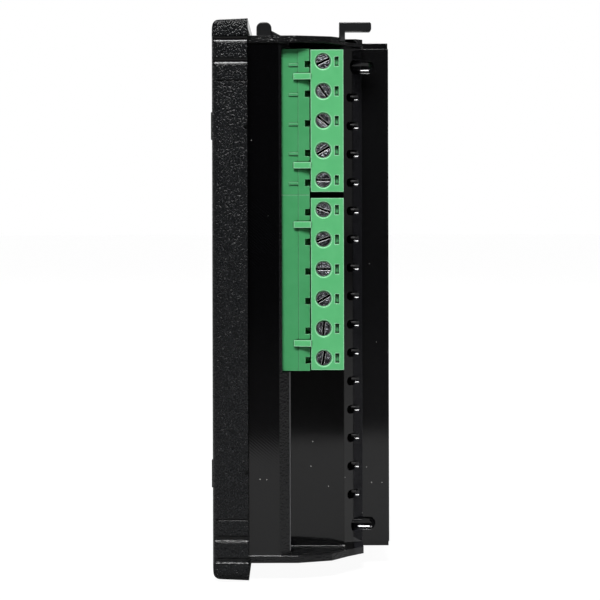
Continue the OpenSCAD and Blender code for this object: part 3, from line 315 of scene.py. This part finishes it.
material, tree, shader = new_material("acrylic_printed_black")
coords = add(tree, "ShaderNodeTexCoord")
axes = add(tree, "ShaderNodeSeparateXYZ", {"Vector": coords.outputs["Object"]})
from_middle = combine(tree, "SUBTRACT", axes.outputs["Z"], window_z)
printed = combine(tree, "MAXIMUM", past(tree, axes.outputs["X"], cell_hi.x - print_ring),
                  past(tree, from_middle, cell_hi.z - window_z - print_ring))
colour = add(tree, "ShaderNodeMix", {0: printed, 6: srgb(acrylic_clear), 7: srgb(acrylic_print)},
             data_type="RGBA")
tree.links.new(colour.outputs[2], shader.inputs["Base Color"])
tree.links.new(combine(tree, "SUBTRACT", 1.0, printed), shader.inputs["Transmission Weight"])
shader.inputs["Roughness"].default_value = 0.04
shader.inputs["IOR"].default_value = 1.49
finish_nodes(material, "display_window")

material, tree, shader = new_material("liquid_crystal_glass")
coords = add(tree, "ShaderNodeTexCoord")
mottle = add(tree, "ShaderNodeTexNoise", {"Vector": coords.outputs["Object"],
                                          "Scale": 1 / crystal_mottle, "Detail": 2.0})
colour = add(tree, "ShaderNodeMix", {0: mottle.outputs["Fac"], 6: srgb(crystal_dark),
                                     7: srgb(crystal_light)}, data_type="RGBA")
tree.links.new(colour.outputs[2], shader.inputs["Base Color"])
shader.inputs["Roughness"].default_value = 0.22
shader.inputs["Coat Weight"].default_value = 0.5
finish_nodes(material, "display_cell")

material, tree, shader = new_material("polycarbonate_white")
coords = add(tree, "ShaderNodeTexCoord")
grains = add(tree, "ShaderNodeTexNoise", {"Vector": coords.outputs["Object"],
                                          "Scale": 1 / frame_grain, "Detail": 2.0})
rounded = add(tree, "ShaderNodeBevel", {"Radius": frame_edge}, samples=4)
bump = add(tree, "ShaderNodeBump", {"Height": grains.outputs["Fac"], "Strength": 0.2,
                                    "Distance": frame_grain_depth, "Normal": rounded.outputs[0]})
tree.links.new(bump.outputs["Normal"], shader.inputs["Normal"])
shader.inputs["Base Color"].default_value = srgb("#e6e6e1")
shader.inputs["Roughness"].default_value = 0.4
shader.inputs["Subsurface Weight"].default_value = 0.15
shader.inputs["Subsurface Radius"].default_value = (1.0, 0.9, 0.8)
shader.inputs["Subsurface Scale"].default_value = frame_scatter
finish_nodes(material, "backlight_frame")

# Circuit boards
# Glass epoxy under a green solder mask, with copper tracks that show through it as paler lines, and
# the small parts on both boards in black moulding compound.
track_pitch = 2.54 * mm
track_run = 3 * track_pitch
track_edge = 0.06
mask_dark, mask_light, track_green = "#12482a", "#1a5c36", "#2c7a4a"
mask_relief = 0.04 * mm
compound_grain, compound_relief = 0.25 * mm, 0.03 * mm
compound_edge = 0.15 * mm

material, tree, shader = new_material("glass_epoxy_green_mask")
coords = add(tree, "ShaderNodeTexCoord")
facing_board = add(tree, "ShaderNodeMapping", {"Vector": coords.outputs["Object"],
                                               "Rotation": (math.radians(90), 0, 0)})
cells = add(tree, "ShaderNodeTexBrick", {"Vector": facing_board.outputs["Vector"], "Scale": 1.0,
                                         "Mortar Size": track_edge, "Mortar Smooth": 0.1,
                                         "Brick Width": track_run, "Row Height": track_pitch,
                                         "Color1": srgb(mask_dark), "Color2": srgb(mask_light),
                                         "Mortar": srgb(track_green)})
bump = add(tree, "ShaderNodeBump", {"Height": cells.outputs["Fac"], "Strength": 0.4,
                                    "Distance": mask_relief})
tree.links.new(cells.outputs["Color"], shader.inputs["Base Color"])
tree.links.new(bump.outputs["Normal"], shader.inputs["Normal"])
shader.inputs["Roughness"].default_value = 0.3
finish_nodes(material, "display_board", "main_board")

material, tree, shader = new_material("epoxy_moulding_compound")
coords = add(tree, "ShaderNodeTexCoord")
grains = add(tree, "ShaderNodeTexNoise", {"Vector": coords.outputs["Object"],
                                          "Scale": 1 / compound_grain, "Detail": 2.0})
rounded = add(tree, "ShaderNodeBevel", {"Radius": compound_edge}, samples=4)
bump = add(tree, "ShaderNodeBump", {"Height": grains.outputs["Fac"], "Strength": 0.3,
                                    "Distance": compound_relief, "Normal": rounded.outputs[0]})
tree.links.new(bump.outputs["Normal"], shader.inputs["Normal"])
shader.inputs["Base Color"].default_value = srgb("#1c1d1f")
shader.inputs["Roughness"].default_value = 0.55
finish_nodes(material, "processor", "board_link", "key_switches", "rectifier",
             "current_transformer")

# Components on the main board
# Relays in blue polyester cases, a laminated transformer core with a taped coil, capacitors in
# shrink sleeve, a fuse in a brown case and a blue surge arrester.
drift_size = 8.33 * mm
moulded_relief = 0.03 * mm
lamination, lamination_relief = 0.5 * mm, 0.05 * mm
sheet_dark, sheet_light = "#4b4f54", "#7c8187"
# The bands of a wave texture lie this far apart at a scale of 1.
wave_unit = 0.314


def moulded(name, low, high, roughness, grain, edge=0.3 * mm):
    """A moulded or dipped case: two shades that drift into each other, with a fine grain."""
    made, tree, shader = new_material(name)
    coords = add(tree, "ShaderNodeTexCoord")
    drift = add(tree, "ShaderNodeTexNoise", {"Vector": coords.outputs["Object"],
                                             "Scale": 1 / drift_size})
    fine = add(tree, "ShaderNodeTexNoise", {"Vector": coords.outputs["Object"],
                                            "Scale": 1 / grain, "Detail": 2.0})
    shade = add(tree, "ShaderNodeMix", {0: drift.outputs["Fac"], 6: srgb(low), 7: srgb(high)},
                data_type="RGBA")
    rounded = add(tree, "ShaderNodeBevel", {"Radius": edge}, samples=8)
    raised = add(tree, "ShaderNodeBump", {"Height": fine.outputs["Fac"], "Strength": 0.3,
                                          "Distance": moulded_relief,
                                          "Normal": rounded.outputs[0]})
    tree.links.new(shade.outputs[2], shader.inputs["Base Color"])
    tree.links.new(raised.outputs["Normal"], shader.inputs["Normal"])
    shader.inputs["Roughness"].default_value = roughness
    return made


finish_nodes(moulded("polyester_blue", "#1d5a9c", "#2a6fb4", 0.35, 0.4 * mm),
             *[f"relay_{i}" for i in range(1, 7)])
finish_nodes(moulded("polyester_tape_yellow", "#b8a052", "#cdb76e", 0.3, 0.8 * mm),
             "transformer_coil")
finish_nodes(moulded("shrink_sleeve_blue_black", "#1b2634", "#2b3a4e", 0.28, 0.6 * mm),
             "capacitors")
finish_nodes(moulded("phenolic_brown", "#4a261b", "#5e3326", 0.4, 0.3 * mm), "fuse")
finish_nodes(moulded("epoxy_dip_blue", "#20418f", "#2f56ad", 0.35, 0.5 * mm), "surge_arrester")

material, tree, shader = new_material("silicon_steel_laminated")
coords = add(tree, "ShaderNodeTexCoord")
sheets = add(tree, "ShaderNodeTexWave", {"Vector": coords.outputs["Object"],
                                         "Scale": wave_unit / lamination, "Distortion": 0.6,
                                         "Detail": 2.0}, wave_type="BANDS", bands_direction="Z")
colour = add(tree, "ShaderNodeMix", {0: sheets.outputs["Fac"], 6: srgb(sheet_dark),
                                     7: srgb(sheet_light)}, data_type="RGBA")
bump = add(tree, "ShaderNodeBump", {"Height": sheets.outputs["Fac"], "Strength": 0.4,
                                    "Distance": lamination_relief})
tree.links.new(colour.outputs[2], shader.inputs["Base Color"])
tree.links.new(bump.outputs["Normal"], shader.inputs["Normal"])
shader.inputs["Metallic"].default_value = 0.85
shader.inputs["Roughness"].default_value = 0.45
finish_nodes(material, "transformer_core")

# Keys
# Four caps, moulded in grey-black ABS with a finer grain than the bezel's. They slide in openings of
# the bezel and rest on the switches behind it.
finish_nodes(moulded("abs_fine_grain_grey", "#333639", "#3f4346", 0.5, 0.25 * mm),
             *[f"key_{i}" for i in range(1, 5)])

# Terminal blocks
# Headers and pull-off plugs in green polyamide, the headers a shade darker. The moulding is slightly
# mottled by the flow in the mould. Its edges carry a painted highlight in a paler green, and painted
# shade darkens the wells round the screws, the test slots and the gap between plug and header.
flow_size = 3.85 * mm
peel_size, peel_depth = 0.385 * mm, 0.03 * mm
# The painted edge highlight reaches this far from an edge; the edges are rounded this much.
edge_highlight_reach, block_edge = 0.36 * mm, 0.14 * mm
edge_highlight_from, edge_highlight_full = 0.999, 0.96
gap_reach = 0.8 * mm
# The painted gap shade starts, and is full, where this share of what lies within reach of a place is
# still open.
gap_from, gap_full = 0.85, 0.5
gap_painted_shade = "#0a3519"
block_scatter = 0.5 * mm


def polyamide(name, low, high, edge_highlight, roughness):
    """Green polyamide with a fine orange-peel surface, a painted edge highlight and painted gap shade.
    """
    made, tree, shader = new_material(name)
    coords = add(tree, "ShaderNodeTexCoord")
    flow = add(tree, "ShaderNodeTexNoise", {"Vector": coords.outputs["Object"],
                                            "Scale": 1 / flow_size, "Detail": 3.0,
                                            "Distortion": 0.4})
    peel = add(tree, "ShaderNodeTexNoise", {"Vector": coords.outputs["Object"],
                                            "Scale": 1 / peel_size, "Detail": 1.0})
    shade = add(tree, "ShaderNodeMix", {0: flow.outputs["Fac"], 6: srgb(low), 7: srgb(high)},
                data_type="RGBA")
    # Painted highlight: the edges turn a paler green.
    round_edges = add(tree, "ShaderNodeBevel", {"Radius": edge_highlight_reach}, samples=4)
    shade = add(tree, "ShaderNodeMix", {0: near_edge(tree, round_edges, edge_highlight_from, edge_highlight_full),
                                        6: shade.outputs[2], 7: srgb(edge_highlight)}, data_type="RGBA")
    # Painted shade: wells, slots and gaps darken by how little of their surroundings is open.
    open_to = add(tree, "ShaderNodeAmbientOcclusion", {"Distance": gap_reach}, samples=8)
    painted_shade_share = add(tree, "ShaderNodeMapRange", {"Value": open_to.outputs["AO"],
                                              "From Min": gap_from, "From Max": gap_full})
    shade = add(tree, "ShaderNodeMix", {0: painted_shade_share.outputs["Result"], 6: shade.outputs[2],
                                        7: srgb(gap_painted_shade)}, data_type="RGBA")
    rounded = add(tree, "ShaderNodeBevel", {"Radius": block_edge}, samples=4)
    raised = add(tree, "ShaderNodeBump", {"Height": peel.outputs["Fac"], "Strength": 0.25,
                                          "Distance": peel_depth, "Normal": rounded.outputs[0]})
    tree.links.new(shade.outputs[2], shader.inputs["Base Color"])
    tree.links.new(raised.outputs["Normal"], shader.inputs["Normal"])
    shader.inputs["Roughness"].default_value = roughness
    shader.inputs["IOR"].default_value = 1.53
    shader.inputs["Subsurface Weight"].default_value = 0.12
    shader.inputs["Subsurface Radius"].default_value = (0.5, 1.0, 0.6)
    shader.inputs["Subsurface Scale"].default_value = block_scatter
    return made


finish_nodes(polyamide("polyamide_green_header", "#3a9458", "#489f66", "#67b27f", 0.4),
             "upper_header", "lower_header")
finish_nodes(polyamide("polyamide_green_plug", "#54b472", "#63c07e", "#b4f0c6", 0.36),
             "upper_plug", "lower_plug")

# Metal of the terminals
# Slotted steel screws, zinc plated and passivated, with burrs left by the driver; tinned copper pins;
# plated wire clamps bent from steel sheet; brass springs. On all of them the edges are rougher and
# painted near-white as a highlight, and painted shade darkens the slots and gaps.
burr_edge, metal_edge = 0.22 * mm, 0.12 * mm
burr_from, burr_full = 0.995, 0.93
# Near-white is painted on the edges as a highlight, and near-black in the slots and gaps as shade.
burr_highlight_white, slot_painted_shade = "#fafafc", "#0b0b0d"
burr_roughness = 0.5
slot_from, slot_full = 1.0, 0.7
# The scratches are this many times longer than wide, and lie at this angle in radians.
scratch_length, scratch_turn = 9, 0.6


def plated(name, low, high, roughness, patch, scratch, dent):
    """Plated metal: two shades in patches, fine scratches, dents, rough edges painted near-white as a
    highlight, and painted shade in gaps.
    """
    made, tree, shader = new_material(name)
    coords = add(tree, "ShaderNodeTexCoord")
    patches = add(tree, "ShaderNodeTexNoise", {"Vector": coords.outputs["Object"],
                                               "Scale": 1 / patch, "Detail": 3.0})
    share = add(tree, "ShaderNodeMapRange", {"Value": patches.outputs["Fac"], "From Min": 0.35,
                                             "From Max": 0.65})
    stretched = add(tree, "ShaderNodeMapping", {"Vector": coords.outputs["Object"],
                                                "Rotation": (scratch_turn, 0, 0),
                                                "Scale": (1, 1, scratch_length)})
    lines = add(tree, "ShaderNodeTexNoise", {"Vector": stretched.outputs["Vector"],
                                             "Scale": 1 / scratch, "Detail": 2.0})
    height = combine(tree, "ADD", lines.outputs["Fac"], patches.outputs["Fac"])
    shade = add(tree, "ShaderNodeMix", {0: share.outputs["Result"], 6: srgb(low), 7: srgb(high)},
                data_type="RGBA")
    # Rougher burred edges, also painted near-white as a highlight.
    burrs = add(tree, "ShaderNodeBevel", {"Radius": burr_edge}, samples=4)
    burr_and_highlight = near_edge(tree, burrs, burr_from, burr_full)
    shade = add(tree, "ShaderNodeMix", {0: burr_and_highlight, 6: shade.outputs[2], 7: srgb(burr_highlight_white)},
                data_type="RGBA")
    # Painted shade: slots and gaps darken by how little of their surroundings is open.
    open_to = add(tree, "ShaderNodeAmbientOcclusion", {"Distance": gap_reach}, samples=8)
    painted_shade_share = add(tree, "ShaderNodeMapRange", {"Value": open_to.outputs["AO"],
                                              "From Min": slot_from, "From Max": slot_full})
    shade = add(tree, "ShaderNodeMix", {0: painted_shade_share.outputs["Result"], 6: shade.outputs[2],
                                        7: srgb(slot_painted_shade)}, data_type="RGBA")
    dull = add(tree, "ShaderNodeMix", {0: burr_and_highlight, 2: roughness, 3: burr_roughness})
    rounded = add(tree, "ShaderNodeBevel", {"Radius": metal_edge}, samples=8)
    raised = add(tree, "ShaderNodeBump", {"Height": height, "Strength": 0.8, "Distance": dent,
                                          "Normal": rounded.outputs[0]})
    tree.links.new(shade.outputs[2], shader.inputs["Base Color"])
    tree.links.new(dull.outputs[0], shader.inputs["Roughness"])
    tree.links.new(raised.outputs["Normal"], shader.inputs["Normal"])
    shader.inputs["Metallic"].default_value = 1.0
    return made


finish_nodes(plated("steel_zinc_plated", "#222327", "#85878d", 0.18, 0.8 * mm, 0.8 * mm, 0.11 * mm),
             "upper_screws", "lower_screws", "housing_screws", "display_board_screws")
finish_nodes(plated("copper_tinned", "#c0c2c5", "#d6d8da", 0.3, 1.1 * mm, 0.6 * mm, 0.03 * mm),
             "upper_pins", "lower_pins")
finish_nodes(plated("sheet_steel_zinc_plated", "#9da0a4", "#bcbfc2", 0.35, 1.1 * mm, 0.8 * mm,
                    0.03 * mm), "upper_wire_clamps", "lower_wire_clamps")
finish_nodes(plated("spring_brass", "#b8924e", "#d3b06c", 0.3, 1.1 * mm, 0.6 * mm, 0.03 * mm),
             "upper_contacts", "lower_contacts")

# Rear housing
# One moulded tub in black ABS: polished in the channels, on the slopes and on the rear box, and spark
# eroded on its top and bottom walls, at the ends of the channels and on the shoulder beside them. Dust
# lies on the polished side, and faint flow lines show where it mirrors an edge. The vent slope is
# painted lighter as a painted reflection, the rear box is a shade lighter than the front, and a narrow
# lip at the edge of the shoulder carries a painted highlight.
wall_z = 65.9 * mm
tub_end = 25.2 * mm
slope_lit, slope_end = 27.4 * mm, 29.8 * mm
shoulder_lo, shoulder_hi = 7.6 * mm, 10.75 * mm
lip_w, lip_z = 0.26 * mm, 64.6 * mm
front_part = 7.4 * mm
flow_pitch, flow_depth, flow_lean = 0.62 * mm, 0.004 * mm, math.radians(40)
wall_edge, gloss_edge = 0.09 * mm, 0.2 * mm
wall_grain_depth, shoulder_share = 0.15 * mm, 0.45
end_lean, shoulder_lean, lip_lean, dust_lean = 0.5, 0.3, 0.3, 0.5
gloss_roughness, wall_roughness = (0.05, 0.09), 0.2
smear_size = 22.2 * mm
# The vent slope's grey is a painted reflection, and the lip's grey below is a painted highlight.
gloss_front, gloss_behind, slope_reflection = "#050506", "#0e0e0f", "#222225"
grain_dark, grain_light, lip_highlight = "#08090a", "#151516", "#5a5a5c"
dust_grey = "#a9a9a6"
dust = [
    # along the depth, height, radius, in mm
    (16.5, -38.2, 0.14), (16.0, -44.7, 0.11), (2.9, -46.1, 0.15), (4.6, -46.2, 0.12),
    (20.6, -50.0, 0.12), (25.0, -47.7, 0.11), (30.9, -45.9, 0.12), (32.2, -50.0, 0.13),
    (35.0, -50.0, 0.10), (24.8, -65.6, 0.16), (8.0, -65.7, 0.15), (0.9, 40.7, 0.12),
    (31.8, 8.4, 0.09), (5.1, 21.3, 0.08), (33.6, -12.5, 0.09), (29.7, -58.1, 0.08),
]

material, tree, shader = new_material("abs_gloss_and_grain_black")
coords = add(tree, "ShaderNodeTexCoord")
axes = add(tree, "ShaderNodeSeparateXYZ", {"Vector": coords.outputs["Object"]})
facing = add(tree, "ShaderNodeSeparateXYZ", {"Vector": coords.outputs["Normal"]})
in_walls = combine(tree, "MULTIPLY", combine(tree, "LESS_THAN", axes.outputs["Y"], tub_end),
                   combine(tree, "MAXIMUM", past(tree, axes.outputs["Z"], wall_z),
                           past(tree, facing.outputs["Z"], end_lean)))
on_shoulder = combine(tree, "MULTIPLY",
                      combine(tree, "GREATER_THAN", facing.outputs["Y"], shoulder_lean),
                      stretch(tree, axes.outputs["Y"], shoulder_lo, shoulder_hi))
on_lip = combine(tree, "MULTIPLY", past(tree, facing.outputs["X"], lip_lean),
                 stretch(tree, axes.outputs["Y"], shoulder_hi - lip_w, shoulder_hi),
                 stretch(tree, axes.outputs["Z"], -lip_z, lip_z))
on_slope = stretch(tree, axes.outputs["Y"], slope_lit, slope_end)
behind = combine(tree, "GREATER_THAN", axes.outputs["Y"], slope_lit)
grained = combine(tree, "MAXIMUM", in_walls, on_shoulder)

grains, eroded = spark_eroded(tree, coords)
gloss = add(tree, "ShaderNodeMix", {0: behind, 6: srgb(gloss_front), 7: srgb(gloss_behind)},
            data_type="RGBA")
# Painted reflection: the vent slope is lighter.
gloss = add(tree, "ShaderNodeMix", {0: on_slope, 6: gloss.outputs[2], 7: srgb(slope_reflection)},
            data_type="RGBA")
tone = add(tree, "ShaderNodeMix", {0: grains, 6: srgb(grain_dark), 7: srgb(grain_light)},
           data_type="RGBA")
colour = add(tree, "ShaderNodeMix", {0: grained, 6: gloss.outputs[2], 7: tone.outputs[2]},
             data_type="RGBA")
# Painted highlight: a narrow lip at the edge of the shoulder is light grey.
colour = add(tree, "ShaderNodeMix", {0: on_lip, 6: colour.outputs[2], 7: srgb(lip_highlight)},
             data_type="RGBA")
side_on = add(tree, "ShaderNodeVectorMath", {0: coords.outputs["Object"], 1: (0, 1, 1)},
              operation="MULTIPLY")
specks = []
for y, z, radius in dust:
    off = add(tree, "ShaderNodeVectorMath", {0: side_on.outputs["Vector"], 1: (0, y * mm, z * mm)},
              operation="DISTANCE")
    specks.append(combine(tree, "LESS_THAN", off.outputs["Value"], radius * mm))
specks = combine(tree, "MULTIPLY", combine(tree, "MAXIMUM", *specks),
                 combine(tree, "GREATER_THAN", facing.outputs["X"], dust_lean))
colour = add(tree, "ShaderNodeMix", {0: specks, 6: colour.outputs[2], 7: srgb(dust_grey)},
             data_type="RGBA")
smears = add(tree, "ShaderNodeTexNoise", {"Vector": coords.outputs["Object"],
                                          "Scale": 1 / smear_size, "Detail": 4.0})
smooth = add(tree, "ShaderNodeMapRange", {"Value": smears.outputs["Fac"], "From Min": 0.3,
                                          "From Max": 0.7, "To Min": gloss_roughness[0],
                                          "To Max": gloss_roughness[1]})
rough = add(tree, "ShaderNodeMix", {0: grained, 2: smooth.outputs["Result"], 3: wall_roughness})

radius = add(tree, "ShaderNodeMapRange", {"Value": in_walls, "To Min": gloss_edge,
                                          "To Max": wall_edge})
rounded = add(tree, "ShaderNodeBevel", {"Radius": radius.outputs["Result"]}, samples=4)
leaning = add(tree, "ShaderNodeMapping", {"Vector": coords.outputs["Object"],
                                          "Rotation": (flow_lean, 0, 0)})
flow = add(tree, "ShaderNodeTexWave", {"Vector": leaning.outputs["Vector"],
                                       "Scale": wave_unit / flow_pitch, "Distortion": 0.8},
           wave_type="BANDS", bands_direction="Z")
flow = combine(tree, "MULTIPLY", flow.outputs["Fac"],
               stretch(tree, axes.outputs["Y"], -front_part, front_part))
lines = add(tree, "ShaderNodeBump", {"Height": flow, "Strength": 0.4, "Distance": flow_depth,
                                     "Normal": rounded.outputs[0]})
faint = add(tree, "ShaderNodeMapRange", {"Value": on_shoulder, "To Min": 1.0,
                                         "To Max": shoulder_share})
relief = combine(tree, "MULTIPLY", eroded, grained, faint.outputs["Result"])
bump = add(tree, "ShaderNodeBump", {"Height": relief, "Strength": grain_strength,
                                    "Distance": wall_grain_depth,
                                    "Normal": lines.outputs["Normal"]})
tree.links.new(colour.outputs[2], shader.inputs["Base Color"])
tree.links.new(rough.outputs[0], shader.inputs["Roughness"])
tree.links.new(bump.outputs["Normal"], shader.inputs["Normal"])
shader.inputs["IOR"].default_value = 1.54
finish_nodes(material, "rear_housing")

# Panel clamps
# Sliding clamps in black polyamide, pushed along the grooves of the housing by the tab. The runner in
# the groove is matt.
runner_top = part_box("rear_housing")[1].z + 0.7 * mm
clamp_grain, clamp_edge = 0.8 * mm, 0.45 * mm
clamp_roughness, runner_roughness = 0.34, 0.9

material = moulded("polyamide_black", "#0a0b0c", "#191a1c", clamp_roughness, clamp_grain, clamp_edge)
tree = material.node_tree
coords = add(tree, "ShaderNodeTexCoord")
axes = add(tree, "ShaderNodeSeparateXYZ", {"Vector": coords.outputs["Object"]})
rough = add(tree, "ShaderNodeMix", {0: past(tree, axes.outputs["Z"], runner_top),
                                    2: runner_roughness, 3: clamp_roughness})
tree.links.new(rough.outputs[0], tree.nodes["Principled BSDF"].inputs["Roughness"])
finish_nodes(material, "top_clamp", "bottom_clamp")
